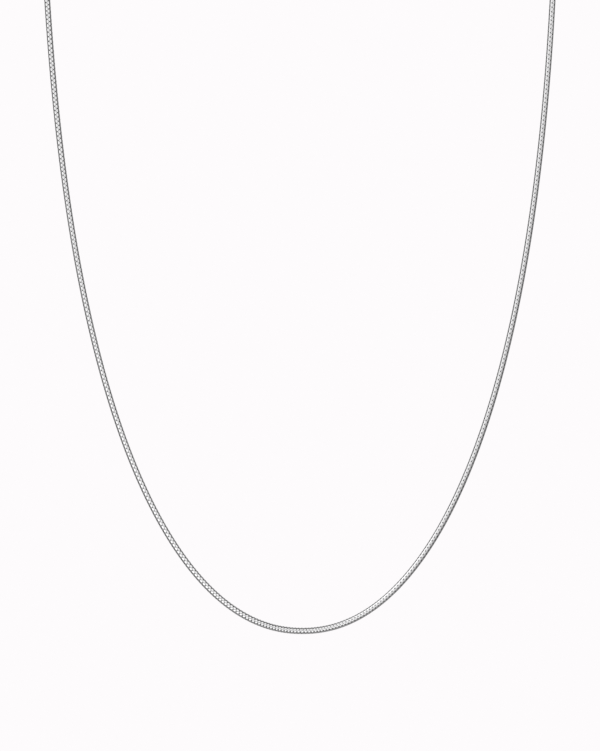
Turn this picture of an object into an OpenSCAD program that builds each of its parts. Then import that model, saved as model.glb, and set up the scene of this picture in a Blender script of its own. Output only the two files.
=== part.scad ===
// Round snake chain necklace, a closed loop that hangs from the nape.
// The loop lies in the XZ plane. The origin is the middle of the nape, in line with the clasp,
// +Z is up and the front faces -Y. All sizes are in millimetres.

/* [Necklace] */
// Length of the whole necklace, measured round the loop and through the clasp
necklace_len = 450; // [430:5:500]
// Distance between the two legs where the hanging front meets the nape arch
leg_gap = 100; // [90:0.1:110]
// Outside diameter of the snake chain
chain_d = 1.2; // [1:0.1:1.6]

/* [End caps] */
// Wall of each end cap round its bore
cap_wall = 0.35; // [0.3:0.05:0.6]
// Length of each end cap's straight barrel
cap_len = 4; // [3:0.5:6]
// Depth of the bore that holds the chain's end
bore_depth = 3.5; // [2:0.1:3.6]
// Wire thickness of the ring soldered to each end cap
cap_ring_wire = 0.5; // [0.4:0.05:0.7]

/* [Clasp] */
// Outside diameter of the clasp's ring
clasp_d = 6; // [5:0.5:8]
// Wire thickness of the clasp's ring
clasp_wire = 1.1; // [0.9:0.1:1.3]
// Wire thickness of the small eye soldered to the clasp
eye_wire = 0.6; // [0.5:0.05:0.8]
// Diameter of the clasp's thumb knob
knob_d = 0.8; // [0.6:0.1:1]
// Height of the thumb knob above the clasp's ring
knob_h = 0.7; // [0.5:0.1:1.2]

/* [Fits] */
// Gap all round the chain's end in its bore
bore_gap = 0.05; // [0.03:0.01:0.1]
// Gap between two linked rings on the side where they pull on each other
link_gap = 0.1; // [0.05:0.05:0.2]
// Free play of a wire in the ring that it passes through
link_play = 0.8; // [0.5:0.1:1.2]

/* [Hidden] */

$fn = 64;

// The hanging front is a curve of the family (x / width)^foot_power + (1 - height / full)^leg_power = 1,
// of which the legs use the lower share leg_share.
foot_power = 2.11;
leg_power = 2.76;
leg_share = 0.64;

// The chain's tube: its sides, and the steps along each half of the front and of the arch
tube_sides = 8;
front_steps = 22;
arch_steps = 14;

// Rings and eyes that pass through each other
cap_ring_bore = clasp_wire + link_play;
cap_ring_r = (cap_ring_bore + cap_ring_wire) / 2;
eye_bore = cap_ring_wire + link_play;
eye_r = (eye_bore + eye_wire) / 2;
clasp_r = (clasp_d - clasp_wire) / 2;

// End caps, from the centre of the soldered ring to the mouth of the bore
cap_bore = chain_d + 2 * bore_gap;
cap_d = cap_bore + 2 * cap_wall;
cap_reach = cap_ring_r + cap_d / 2 + cap_len;

// Places along the line through the clasp, with the two caps' rings as far left as right
eye_offset = clasp_r + eye_r + eye_wire / 2;
pull_right = clasp_r - clasp_wire / 2 - link_gap - cap_ring_wire / 2 + cap_ring_r;
pull_left = eye_offset + eye_r - eye_wire / 2 - link_gap - cap_ring_wire / 2 + cap_ring_r;
half_span = (pull_left + pull_right) / 2;
clasp_x = (pull_left - pull_right) / 2;
knob_turn = 40;

// The front's curve, worked out for a drop: the height from its lowest point to the arch's ends
leg_x = leg_gap / 2;
top_share = 1 - pow(1 - leg_share, leg_power);
front_w = leg_x / pow(top_share, 1 / foot_power);
front_end = acos(pow(1 - leg_share, leg_power / 2));

function front_point(t, drop) = [
    sign(t) * front_w * pow(abs(sin(t)), 2 / foot_power),
    drop / leg_share * (1 - pow(cos(t), 2 / leg_power))
];

function front_curve(drop) = [
    for (k = [-front_steps:front_steps]) front_point(front_end * k / front_steps, drop)
];

// Lean of the legs from the vertical where the arch takes them over, as a slope and as an angle
function leg_slope(drop) = front_w * leg_share / drop * leg_power / foot_power
    * pow(1 - leg_share, leg_power - 1) * pow(top_share, 1 / foot_power - 1);

function leg_lean(drop) = atan(leg_slope(drop));

// The arch is one circle that is tangent to both legs and to both end caps
function arch_r(drop) = leg_x / cos(leg_lean(drop));

function cap_tilt(drop) = atan(cap_reach / arch_r(drop)) + asin(half_span / norm([arch_r(drop), cap_reach]));

function path_len(points) = len(points) < 2 ? 0 : total([
    for (k = [1:len(points) - 1]) norm(points[k] - points[k - 1])
]);

function total(values) = values * [for (value = values) 1];

function loop_len(drop) = path_len(front_curve(drop)) + 2 * (half_span + cap_reach)
    + 2 * arch_r(drop) * (90 + leg_lean(drop) - cap_tilt(drop)) * PI / 180;

// Each pass shares what is still missing between the two legs, until the loop has its length
function settle(drop, passes) = passes == 0 ? drop
    : settle(drop + (necklace_len - loop_len(drop)) / 2, passes - 1);

drop = settle(necklace_len / 4, 12);
radius = arch_r(drop);
lean = leg_lean(drop);
tilt = cap_tilt(drop);
arch_z = -radius * cos(tilt) - cap_reach * sin(tilt);
foot_z = arch_z - radius * sin(lean) - drop;

// The chain's route in the XZ plane: into the left cap, down the left leg, and up again to the right cap
function arch_point(a, side) = [side * radius * sin(a), arch_z + radius * cos(a)];

function cap_point(depth, side) = arch_point(tilt, side) + depth * [-side * cos(tilt), sin(tilt)];

function arch_side(side) = [
    for (k = [0:arch_steps - 1]) arch_point(tilt + (90 + lean - tilt) * k / arch_steps, side)
];

function reversed(list) = [for (k = [len(list) - 1:-1:0]) list[k]];

chain_end = bore_depth - bore_gap;

route = concat(
    [cap_point(chain_end, -1)],
    arch_side(-1),
    [for (p = front_curve(drop)) p + [0, foot_z]],
    reversed(arch_side(1)),
    [cap_point(chain_end, 1)]
);

function route_dir(k) = let (
    ahead = route[min(k + 1, len(route) - 1)],
    behind = route[max(k - 1, 0)]
) (ahead - behind) / norm(ahead - behind);

function tube_ring(k) = let (p = route[k], dir = route_dir(k), r = chain_d / 2) [
    for (s = [0:tube_sides - 1]) let (a = 360 * s / tube_sides)
        [p[0] - dir[1] * r * cos(a), r * sin(a), p[1] + dir[0] * r * cos(a)]
];

function tube_face(k, s) = let (
    a = k * tube_sides,
    b = a + tube_sides,
    next = (s + 1) % tube_sides
) [a + s, a + next, b + next, b + s];

module wire_ring(mean_r, wire) {
    rotate_extrude()
        translate([mean_r, 0])
            circle(d = wire);
}

// An end cap along +X, with the centre of its ring at the origin and its mouth at cap_reach
module end_cap(ring_turn) {
    color("silver") {
        difference() {
            union() {
                translate([cap_reach - cap_len, 0, 0])
                    sphere(d = cap_d);
                translate([cap_reach - cap_len, 0, 0])
                    rotate([0, 90, 0])
                        cylinder(d = cap_d, h = cap_len);
                rotate([ring_turn, 0, 0])
                    wire_ring(cap_ring_r, cap_ring_wire);
            }
            translate([cap_reach - bore_depth, 0, 0])
                rotate([0, 90, 0])
                    cylinder(d = cap_bore, h = bore_depth + cap_wall);
        }
    }
}

// The snake chain, as the smooth tube that its links fill
module chain() {
    rings = len(route);
    color("silver")
        polyhedron(
            points = [for (k = [0:rings - 1]) each tube_ring(k)],
            faces = concat(
                [[for (s = [tube_sides - 1:-1:0]) s]],
                [for (k = [0:rings - 2]) for (s = [0:tube_sides - 1]) tube_face(k, s)],
                [[for (s = [0:tube_sides - 1]) (rings - 1) * tube_sides + s]]
            )
        );
}

// The left cap's ring stands upright and passes through the clasp's eye
module end_cap_left() {
    mirror([1, 0, 0])
        translate([half_span, 0, 0])
            rotate([0, tilt, 0])
                end_cap(90);
}

// The right cap's ring lies flat and passes round the clasp's wire
module end_cap_right() {
    translate([half_span, 0, 0])
        rotate([0, tilt, 0])
            end_cap(0);
}

// The clasp: an upright ring with a flat eye at its left and a thumb knob at its upper right
module clasp() {
    color("silver")
        translate([clasp_x, 0, 0]) {
            rotate([90, 0, 0])
                wire_ring(clasp_r, clasp_wire);
            translate([-eye_offset, 0, 0])
                wire_ring(eye_r, eye_wire);
            rotate([0, knob_turn, 0])
                translate([0, 0, clasp_r])
                    cylinder(d = knob_d, h = clasp_wire / 2 + knob_h);
        }
}

chain();
end_cap_left();
end_cap_right();
clasp();
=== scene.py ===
"""Round snake chain necklace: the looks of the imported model.

The CAD's plain chain tube is replaced by the chain's real links, some thousand of them. Each link is a ring
that carries four leaf-shaped lobes. The next link is turned by half the angle between two lobes, so that
the leaves of neighbouring links interlock into the snake skin. The loop hangs in the XZ plane and is seen
from -Y. Lengths are in metres and angles in degrees where a comment doesn't say otherwise.
"""
import math

import bpy
import numpy as np
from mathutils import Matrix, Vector


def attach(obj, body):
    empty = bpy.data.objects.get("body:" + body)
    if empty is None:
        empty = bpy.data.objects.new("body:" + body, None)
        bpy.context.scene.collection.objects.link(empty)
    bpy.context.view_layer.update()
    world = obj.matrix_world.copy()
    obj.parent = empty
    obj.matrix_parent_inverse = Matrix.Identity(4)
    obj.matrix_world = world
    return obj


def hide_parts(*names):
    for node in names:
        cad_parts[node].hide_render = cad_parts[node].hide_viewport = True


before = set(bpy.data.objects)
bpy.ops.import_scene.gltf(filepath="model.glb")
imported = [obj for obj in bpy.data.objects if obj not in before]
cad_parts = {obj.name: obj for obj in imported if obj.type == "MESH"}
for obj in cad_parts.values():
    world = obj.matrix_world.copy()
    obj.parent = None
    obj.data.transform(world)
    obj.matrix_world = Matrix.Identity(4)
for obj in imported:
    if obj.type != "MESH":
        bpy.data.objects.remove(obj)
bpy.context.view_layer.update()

# The loop's route, as in the CAD source. The front is a curve with one power for its foot and one for its
# legs, which use the lower LEG_SHARE of the curve. DROP is the height from its lowest point to the arch over
# the nape, which is a circle. The rings of the end caps stand HALF_SPAN to either side of the middle, a cap
# reaches CAP_REACH from its ring to its mouth, and the chain's ends lie CHAIN_END deep in the caps.
CHAIN_D = 0.0012
LEG_GAP = 0.100
DROP = 0.124663
FOOT_POWER = 2.11
LEG_POWER = 2.76
LEG_SHARE = 0.64
HALF_SPAN = 0.003975
CAP_REACH = 0.0062
CHAIN_END = 0.00345

# Points that the route is worked out at: on half of the front, on half of the arch, and along the whole
FRONT_POINTS = 3000
ARCH_POINTS = 1500
ROUTE_POINTS = 20001

# The chain's links. PITCH is the distance from a link to the next but one, whose leaves lie in the same
# columns. Radii and lengths of the lobes and the ring are shares of the chain's radius and half pitch. A
# leaf's surface drops by RIM_DROP towards its sides and by TIP_DROP towards its tips, the later the higher
# the power, and its underside lies at SKIRT_R. Edges of more than SHARP_ANGLE are hard.
# A relief says how far a place stands clear of the painted shade, from 0 in the gaps to 1 in the middle of a
# leaf.
# Along a leaf's rim it is RIM_RELIEF at the tips and the waist, and SEAM_RELIEF more halfway between them.
PITCH = 0.000861
LOBES = 4
LOBE_HALF_ANGLE = 39.6
LOBE_TAPER = 1.43
LOBE_REACH = 0.845
RIM_DROP = 0.013
RIM_POWER = 2.9
TIP_DROP = 0.006
TIP_POWER = 2.6
RIM_RELIEF = 0.2
SEAM_RELIEF = 0.04
SKIRT_R = 0.77
RING_R_OUT = 0.74
RING_R_IN = 0.42
RING_REACH = 0.44
RING_SIDES = 16
LOBE_ROWS = 8
LOBE_COLUMNS = 6
SHARP_ANGLE = 50

# Where the chain bends, its links close up and swell, and their leaves bulge: the shares by which they do so
# at a bend of radius BEND_R, and the power by which that falls off with a wider bend. The bend at a place is
# the average over BEND_POINTS of the route's points to either side.
BEND_R = 0.024
CLOSING = 0.25
SWELL = 0.05
BULGE = 0.08
BEND_POWER = 1.6
BEND_POINTS = 40

# Uneven spacing of the links along the chain, as waves: length, share of the pitch, angle at the left end
WANDER = (
    (0.0071, 0.018, 200),
    (0.0113, 0.030, 20),
    (0.0173, 0.025, 110),
)

# How the chain lies: distance from its left end, angle of the column of leaves that faces the viewer,
# positive towards the inside of the loop, and angle by which the links' inner side leans ahead. It is
# twisted a little along the left leg and again at the foot, where its links also tip over from one side to
# the other.
SET = (
    (0.00, -20, 5),
    (0.10, -20, 10),
    (0.12, -8, 0),
    (0.17, -5, 5),
    (0.20, -10, 10),
    (0.215, -15, 25),
    (0.23, -25, -10),
    (0.25, -35, 0),
    (0.28, -35, -20),
    (0.44, -35, -10),
)

# The links' silver, by relief: colour and roughness from the gaps and the rims to the middles of the leaves,
# the colour with painted shade near black in the gaps and grey along the rims, and the share of uneven wear
# that is added to the roughness. A noise is a scale and a detail.
# Silver's own colour in the middles of the leaves, painted shade at the rims and in the gaps
LINK_TINT_AND_SHADE = (
    (0.0, (0.015, 0.015, 0.015)),
    (RIM_RELIEF, (0.30, 0.30, 0.30)),
    (0.46, (0.95, 0.945, 0.95)),
)
LINK_ROUGHNESS = (
    (RIM_RELIEF, (0.42, 0.42, 0.42)),
    (0.36, (0.07, 0.07, 0.07)),
)
LINK_WEAR = 0.09
LINK_WEAR_NOISE = (2500, 3)

# The silver of the end caps and the clasp: colour and roughness as they vary with a noise, and faint dents
FITTING_TINT = (
    (0.3, (0.84, 0.835, 0.84)),
    (0.7, (0.92, 0.915, 0.92)),
)
FITTING_TINT_NOISE = (900, 4)
FITTING_ROUGHNESS = (
    (0.3, (0.12, 0.12, 0.12)),
    (0.7, (0.24, 0.24, 0.24)),
)
FITTING_ROUGHNESS_NOISE = (3000, 5)
DENT_STRENGTH = 0.08
DENT_DEPTH = 0.00002
DENT_NOISE = (6000, 3)

# The photograph's frame, in its own pixels, with the metres that a pixel stands for, the loop's lowest point
# and the picture's turn against the loop. LENS and SENSOR are in millimetres.
PHOTO_SIZE = (600, 751)
PHOTO_SCALE = 0.00019797
PHOTO_FOOT = (302.99, 630.85)
PHOTO_TURN = 0.273874
LENS = 100
SENSOR = 36
CLIP_START = 0.01
CLIP_END = 20

FLOOR_Z = -0.34
FLOOR_R = 0.62
FLOOR_SIDES = 96
FLOOR_COLOUR = (0.99, 0.99, 0.99, 1)
FLOOR_ROUGHNESS = 0.8

# The studio's soft lights, with one behind the loop for its far side and the pale floor's glow from below:
# direction towards the light, angles from it where the light starts to fade and where it ends, and strength.
# AMBIENT is the strength of the light that comes from everywhere.
AMBIENT = 0.25
STUDIO = {
    "front": ((-0.2, -0.95, 0.25), 50, 65, 0.65),
    "upper_left": ((-0.6, -0.4, 0.7), 15, 30, 1.15),
    "left": ((-0.8, -0.55, 0.15), 5, 15, 0.85),
    "upper_right": ((0.6, -0.55, 0.55), 20, 35, 0.55),
    "lower_left": ((-0.35, -0.85, -0.35), 10, 30, 0.8),
    "back": ((0.0, 0.95, 0.3), 20, 40, 0.9),
    "floor": ((0.0, -0.25, -1.0), 20, 60, 0.2),
}
BACKDROP = (0.983, 0.965, 0.974, 1)


def route():
    """Points of the chain's middle line from left to right, as x, z and distance, and its lowest height."""
    top_share = 1 - (1 - LEG_SHARE) ** LEG_POWER
    front_w = LEG_GAP / 2 / top_share ** (1 / FOOT_POWER)
    front_end = math.acos((1 - LEG_SHARE) ** (LEG_POWER / 2))
    slope = front_w * LEG_SHARE / DROP * LEG_POWER / FOOT_POWER
    slope *= (1 - LEG_SHARE) ** (LEG_POWER - 1) * top_share ** (1 / FOOT_POWER - 1)
    lean = math.atan(slope)
    radius = LEG_GAP / 2 / math.cos(lean)
    tilt = math.atan(CAP_REACH / radius) + math.asin(HALF_SPAN / math.hypot(radius, CAP_REACH))
    arch_z = -radius * math.cos(tilt) - CAP_REACH * math.sin(tilt)
    foot_z = arch_z - radius * math.sin(lean) - DROP

    t = np.linspace(0, front_end, FRONT_POINTS)
    front_x = front_w * np.sin(t) ** (2 / FOOT_POWER)
    front_z = foot_z + DROP / LEG_SHARE * (1 - np.cos(t) ** (2 / LEG_POWER))
    turn = np.linspace(math.pi / 2 + lean, tilt, ARCH_POINTS)[1:]
    end_x = radius * math.sin(tilt) - CHAIN_END * math.cos(tilt)
    end_z = arch_z + radius * math.cos(tilt) + CHAIN_END * math.sin(tilt)
    right_x = np.concatenate([front_x, radius * np.sin(turn), [end_x]])
    right_z = np.concatenate([front_z, arch_z + radius * np.cos(turn), [end_z]])
    x = np.concatenate([-right_x[:0:-1], right_x])
    z = np.concatenate([right_z[:0:-1], right_z])
    far = np.concatenate([[0], np.cumsum(np.hypot(np.diff(x), np.diff(z)))])
    return x, z, far, foot_z


ROUTE_X, ROUTE_Z, ROUTE_FAR, FOOT_Z = route()


def link_frames():
    """Places, directions ahead and inward, half pitches, squeezes, turns and leans of all links."""
    far = np.linspace(0, ROUTE_FAR[-1], ROUTE_POINTS)
    x = np.interp(far, ROUTE_FAR, ROUTE_X)
    z = np.interp(far, ROUTE_FAR, ROUTE_Z)
    heading = np.unwrap(np.arctan2(np.gradient(z), np.gradient(x)))
    window = np.ones(2 * BEND_POINTS + 1) / (2 * BEND_POINTS + 1)
    bend = np.pad(np.abs(np.gradient(heading, far)), BEND_POINTS, mode="edge")
    squeeze = (np.convolve(bend, window, mode="valid") * BEND_R) ** BEND_POWER

    half = PITCH / 2 * (1 - CLOSING * squeeze)
    for wave, share, start in WANDER:
        half = half * (1 + share * np.sin(2 * math.pi * far / wave + math.radians(start)))

    # The links stand half a pitch apart, with as much of the count of half pitches left over at either end
    count = np.concatenate([[0], np.cumsum(np.diff(far) * 2 / (half[1:] + half[:-1]))])
    links = int(count[-1]) - 1
    first = (count[-1] - links + 1) / 2
    at = np.interp(first + np.arange(links), count, far)

    stations, turns, leans = np.array(SET).T
    turn = np.radians(np.interp(at, stations, turns) + 180 / LOBES * np.arange(links))
    lean = np.tan(np.radians(np.interp(at, stations, leans)))
    place = np.stack([np.interp(at, far, x), np.zeros(links), np.interp(at, far, z)], axis=1)
    ahead = np.interp(at, far, heading)
    along = np.stack([np.cos(ahead), np.zeros(links), np.sin(ahead)], axis=1)
    inward = np.stack([-np.sin(ahead), np.zeros(links), np.cos(ahead)], axis=1)
    return place, along, inward, np.interp(at, far, half), np.interp(at, far, squeeze), turn, lean


def lobe_mesh():
    """One leaf: each vertex's angle, shares of the half pitch and the radius, and relief, and its faces."""
    rows = []
    vertices = []
    for i in range(LOBE_ROWS + 1):
        u = math.sin(math.pi * (i / LOBE_ROWS - 0.5))
        pointed = i in (0, LOBE_ROWS)
        columns = 0 if pointed else LOBE_COLUMNS
        width = 0 if pointed else LOBE_HALF_ANGLE * (1 - abs(u) ** LOBE_TAPER)
        rows.append(range(len(vertices), len(vertices) + columns + 1))
        for j in range(columns + 1):
            v = 0 if pointed else math.sin(math.pi * (j / columns - 0.5))
            r = 1 - RIM_DROP * abs(v) ** RIM_POWER - TIP_DROP * abs(u) ** TIP_POWER
            # The relief falls towards the rims, where the colour gets painted shade
            edge = RIM_RELIEF + SEAM_RELIEF * 4 * abs(u) * (1 - abs(u))
            relief = edge + (1 - edge) * (1 - v * v) * (1 - u * u)
            vertices.append((v * width, u * LOBE_REACH, r, relief))
    faces = []
    for low, high in zip(rows, rows[1:]):
        if len(low) == 1:
            faces += [(low[0], high[j], high[j + 1]) for j in range(LOBE_COLUMNS)]
        elif len(high) == 1:
            faces += [(low[j + 1], low[j], high[0]) for j in range(LOBE_COLUMNS)]
        else:
            faces += [(low[j], high[j], high[j + 1], low[j + 1]) for j in range(LOBE_COLUMNS)]
    rim = [row[0] for row in rows] + [row[-1] for row in rows[-2:0:-1]]
    base = len(vertices)
    for k in rim:
        angle, reach = vertices[k][:2]
        # The skirts under the leaves get no relief, so they are painted near black as shade
        vertices.append((angle, reach, SKIRT_R, 0.0))
    for k in range(len(rim)):
        n = (k + 1) % len(rim)
        faces.append((rim[k], base + k, base + n, rim[n]))
    faces.append(tuple(base + k for k in range(len(rim)))[::-1])
    return np.array(vertices), faces


def ring_mesh():
    """The link's ring, with the same four values for each vertex as in lobe_mesh."""
    corners = (
        (RING_R_IN, -RING_REACH),
        (RING_R_OUT, -RING_REACH),
        (RING_R_OUT, RING_REACH),
        (RING_R_IN, RING_REACH),
    )
    vertices = []
    faces = []
    for s in range(RING_SIDES):
        for r, u in corners:
            # The ring gets no relief, so it is painted near black as the shade seen through the gaps
            vertices.append((360 * s / RING_SIDES, u, r, 0.0))
    for s in range(RING_SIDES):
        a = len(corners) * s
        b = len(corners) * ((s + 1) % RING_SIDES)
        for c in range(len(corners)):
            d = (c + 1) % len(corners)
            faces.append((a + c, a + d, b + d, b + c))
    return np.array(vertices), faces


def link_mesh():
    """A whole link: its ring and its lobes."""
    vertices, faces = ring_mesh()
    lobe, lobe_faces = lobe_mesh()
    for k in range(LOBES):
        turned = lobe + np.array([360 * k / LOBES, 0, 0, 0])
        faces = faces + [tuple(i + len(vertices) for i in face) for face in lobe_faces]
        vertices = np.concatenate([vertices, turned])
    return vertices, faces


def build_mesh(name, points, faces, relief):
    """A mesh object from one link's faces, repeated for every link."""
    links, size = points.shape[:2]
    corners = np.concatenate([np.array(face) for face in faces])
    sizes = np.array([len(face) for face in faces])
    loops = (corners[None, :] + size * np.arange(links)[:, None]).ravel()
    totals = np.tile(sizes, links)
    mesh = bpy.data.meshes.new(name)
    mesh.vertices.add(links * size)
    mesh.vertices.foreach_set("co", points.astype(np.float32).ravel())
    mesh.loops.add(len(loops))
    mesh.loops.foreach_set("vertex_index", loops.astype(np.int32))
    mesh.polygons.add(len(totals))
    starts = np.concatenate([[0], np.cumsum(totals)[:-1]])
    mesh.polygons.foreach_set("loop_start", starts.astype(np.int32))
    mesh.update(calc_edges=True)
    mesh.validate()
    mesh.polygons.foreach_set("use_smooth", np.ones(len(mesh.polygons), dtype=bool))
    mesh.set_sharp_from_angle(angle=math.radians(SHARP_ANGLE))
    mesh.attributes.new("relief", "FLOAT", "POINT")
    mesh.attributes["relief"].data.foreach_set("value", np.tile(relief, links).astype(np.float32))
    made = bpy.data.objects.new(name, mesh)
    bpy.context.collection.objects.link(made)
    return made


def make_chain(material):
    """The links, in four pieces that follow one another round the loop."""
    vertices, faces = link_mesh()
    place, along, inward, half, squeeze, turn, lean = link_frames()
    front = np.array([0.0, -1.0, 0.0])
    angle = np.radians(vertices[:, 0])[None, :] + turn[:, None]
    swell = 1 + squeeze[:, None] * (SWELL - BULGE * (vertices[:, 1] / LOBE_REACH) ** 2)
    radius = CHAIN_D / 2 * swell * vertices[:, 2]
    to_front = np.cos(angle) * radius
    to_inside = np.sin(angle) * radius
    ahead = half[:, None] * vertices[:, 1] + lean[:, None] * to_inside
    points = place[:, None, :] + along[:, None, :] * ahead[:, :, None]
    points = points + front * to_front[:, :, None] + inward[:, None, :] * to_inside[:, :, None]
    names = ("links_nape_left", "links_leg_left", "links_leg_right", "links_nape_right")
    cuts = np.linspace(0, len(place), len(names) + 1).astype(int)
    for name, start, stop in zip(names, cuts, cuts[1:]):
        piece = build_mesh(name, points[start:stop], faces, vertices[:, 3])
        piece.data.materials.append(material)
        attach(piece, "root")
        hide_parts("chain")


def new_material(name):
    """A new node material, with its nodes, its links and its shader."""
    material = bpy.data.materials.new(name)
    material.use_nodes = True
    nodes = material.node_tree.nodes
    return material, nodes, material.node_tree.links, nodes["Principled BSDF"]


def noise(nodes, links, scale, detail):
    """A noise texture in the object's own coordinates."""
    place = nodes.new("ShaderNodeTexCoord")
    texture = nodes.new("ShaderNodeTexNoise")
    texture.inputs["Scale"].default_value = scale
    texture.inputs["Detail"].default_value = detail
    links.new(place.outputs["Object"], texture.inputs["Vector"])
    return texture.outputs["Fac"]


def ramp(nodes, links, value, stops):
    """A colour ramp over the value, from pairs of place and colour."""
    node = nodes.new("ShaderNodeValToRGB")
    elements = node.color_ramp.elements
    for at, _ in stops[len(elements):]:
        elements.new(at)
    for element, (at, colour) in zip(elements, stops):
        element.position = at
        element.color = (*colour, 1)
    links.new(value, node.inputs["Fac"])
    return node.outputs["Color"]


def silver_links():
    """Polished silver, with painted shade that darkens it where the leaves meet and in the gaps between
    them.
    """
    material, nodes, links, shader = new_material("silver_links")
    relief = nodes.new("ShaderNodeAttribute")
    relief.attribute_name = "relief"
    # The ramp paints shade into the colour: near black in the gaps, the skirts and the ring, grey along the
    # rims
    tint = ramp(nodes, links, relief.outputs["Fac"], LINK_TINT_AND_SHADE)
    links.new(tint, shader.inputs["Base Color"])
    matt = ramp(nodes, links, relief.outputs["Fac"], LINK_ROUGHNESS)
    wear = nodes.new("ShaderNodeMath")
    wear.operation = "MULTIPLY_ADD"
    links.new(noise(nodes, links, *LINK_WEAR_NOISE), wear.inputs[0])
    wear.inputs[1].default_value = LINK_WEAR
    links.new(matt, wear.inputs[2])
    links.new(wear.outputs[0], shader.inputs["Roughness"])
    shader.inputs["Metallic"].default_value = 1.0
    return material


def silver_fittings():
    """Polished silver with faint wear for the end caps and the clasp."""
    material, nodes, links, shader = new_material("silver_fittings")
    tint = ramp(nodes, links, noise(nodes, links, *FITTING_TINT_NOISE), FITTING_TINT)
    links.new(tint, shader.inputs["Base Color"])
    rough = ramp(nodes, links, noise(nodes, links, *FITTING_ROUGHNESS_NOISE), FITTING_ROUGHNESS)
    links.new(rough, shader.inputs["Roughness"])
    bump = nodes.new("ShaderNodeBump")
    bump.inputs["Strength"].default_value = DENT_STRENGTH
    bump.inputs["Distance"].default_value = DENT_DEPTH
    links.new(noise(nodes, links, *DENT_NOISE), bump.inputs["Height"])
    links.new(bump.outputs["Normal"], shader.inputs["Normal"])
    shader.inputs["Metallic"].default_value = 1.0
    return material


def dress_fittings(material):
    """The caps and the clasp keep their CAD shapes and get the silver."""
    for node in ("end_cap_left", "end_cap_right", "clasp"):
        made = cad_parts[node].data
        made.materials.clear()
        made.materials.append(material)


def make_camera():
    """The photograph's view: level, straight on, with the picture's small turn."""
    turn = math.radians(PHOTO_TURN)
    middle = (PHOTO_SIZE[0] / 2 - PHOTO_FOOT[0], PHOTO_SIZE[1] / 2 - PHOTO_FOOT[1])
    right = (middle[0] * math.cos(turn) - middle[1] * math.sin(turn)) * PHOTO_SCALE
    up = -(middle[0] * math.sin(turn) + middle[1] * math.cos(turn)) * PHOTO_SCALE
    data = bpy.data.cameras.new("camera")
    data.lens = LENS
    data.sensor_width = SENSOR
    data.clip_start = CLIP_START
    data.clip_end = CLIP_END
    away = LENS * PHOTO_SIZE[1] * PHOTO_SCALE / SENSOR
    camera = bpy.data.objects.new("camera", data)
    camera.location = (right, -away, FOOT_Z + up)
    camera.rotation_euler = (math.pi / 2, turn, 0)
    bpy.context.collection.objects.link(camera)
    bpy.context.scene.camera = camera


def make_world():
    """Soft round lights at infinity that only reflections show, and a plain backdrop for all other rays."""
    world = bpy.data.worlds.new("studio")
    bpy.context.scene.world = world
    world.use_nodes = True
    nodes = world.node_tree.nodes
    links = world.node_tree.links
    nodes.clear()
    place = nodes.new("ShaderNodeTexCoord")
    ambient = nodes.new("ShaderNodeValue")
    total = ambient.outputs[0]
    total.default_value = AMBIENT
    for direction, inner, outer, strength in STUDIO.values():
        along = nodes.new("ShaderNodeVectorMath")
        along.operation = "DOT_PRODUCT"
        links.new(place.outputs["Generated"], along.inputs[0])
        along.inputs[1].default_value = Vector(direction).normalized()
        spread = nodes.new("ShaderNodeMapRange")
        spread.interpolation_type = "SMOOTHSTEP"
        spread.inputs["From Min"].default_value = math.cos(math.radians(outer))
        spread.inputs["From Max"].default_value = math.cos(math.radians(inner))
        spread.inputs["To Max"].default_value = strength
        links.new(along.outputs["Value"], spread.inputs["Value"])
        add = nodes.new("ShaderNodeMath")
        links.new(total, add.inputs[0])
        links.new(spread.outputs["Result"], add.inputs[1])
        total = add.outputs[0]
    studio = nodes.new("ShaderNodeBackground")
    links.new(total, studio.inputs["Strength"])
    backdrop = nodes.new("ShaderNodeBackground")
    backdrop.inputs["Color"].default_value = BACKDROP
    path = nodes.new("ShaderNodeLightPath")
    mix = nodes.new("ShaderNodeMixShader")
    links.new(path.outputs["Is Glossy Ray"], mix.inputs["Fac"])
    links.new(backdrop.outputs[0], mix.inputs[1])
    links.new(studio.outputs[0], mix.inputs[2])
    output = nodes.new("ShaderNodeOutputWorld")
    links.new(mix.outputs[0], output.inputs["Surface"])
    world.cycles.sampling_method = "NONE"


def make_floor():
    """A plain pale floor below the loop, left out of the reflections, because the studio has its glow."""
    mesh = bpy.data.meshes.new("floor")
    turn = np.linspace(0, 2 * math.pi, FLOOR_SIDES, endpoint=False)
    ring = np.stack([FLOOR_R * np.cos(turn), FLOOR_R * np.sin(turn), np.full(FLOOR_SIDES, FLOOR_Z)], axis=1)
    mesh.from_pydata(ring.tolist(), [], [tuple(range(FLOOR_SIDES))])
    floor = bpy.data.objects.new("floor", mesh)
    bpy.context.collection.objects.link(floor)
    material, _, _, shader = new_material("floor")
    shader.inputs["Base Color"].default_value = FLOOR_COLOUR
    shader.inputs["Roughness"].default_value = FLOOR_ROUGHNESS
    shader.inputs["Specular IOR Level"].default_value = 0.0
    mesh.materials.append(material)
    floor.visible_glossy = False


make_camera()
make_chain(silver_links())
dress_fittings(silver_fittings())
make_floor()
make_world()
bpy.context.scene.view_settings.view_transform = "Standard"
bpy.context.scene.cycles.use_denoising = False
